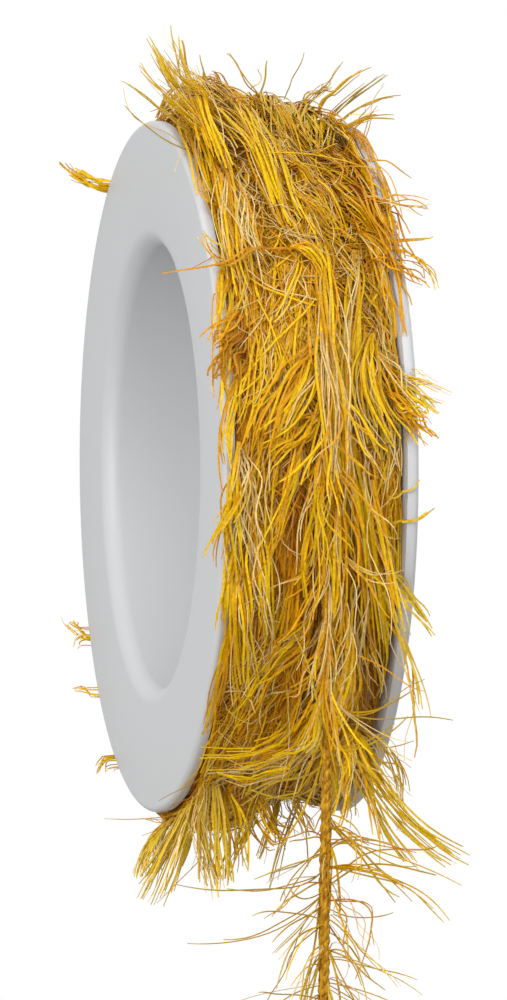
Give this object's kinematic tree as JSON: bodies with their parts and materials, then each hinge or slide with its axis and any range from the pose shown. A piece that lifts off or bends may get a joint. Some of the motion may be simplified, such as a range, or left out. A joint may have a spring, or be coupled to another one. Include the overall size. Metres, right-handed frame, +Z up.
{
  "type": "eyelash fringe trim on a reel",
  "caption": "Shaggy gold eyelash fringe cord wound on a white flanged plastic reel, with its loose end hanging from the front.",
  "frame": {"origin": "middle of the reel, on its axis, halfway between the flanges", "axes": "+Y along the reel's axis, +X to the front, where the loose end leaves the pile, +Z up, against the hang of the loose end"},
  "size_m": [0.1275, 0.0425, 0.1549],
  "materials": {
    "reel_plastic": "satin, as moulded",
    "pile_yarn": "silky rayon pile, packed",
    "lash_yarn": "silky rayon lashes, gold, lemon and cream",
    "cord_yarn": "twisted rayon yarn, brown gold"
  },
  "bodies": {
    "root": {"reel": "reel_plastic", "wound_trim": "pile_yarn", "outer_turn_1": "lash_yarn", "outer_turn_2": "lash_yarn", "outer_turn_3": "lash_yarn", "lower_turn_1": "lash_yarn", "lower_turn_2": "lash_yarn", "loose_end_cord": "cord_yarn", "loose_end_lashes": "lash_yarn"}
  },
  "joints": []
}
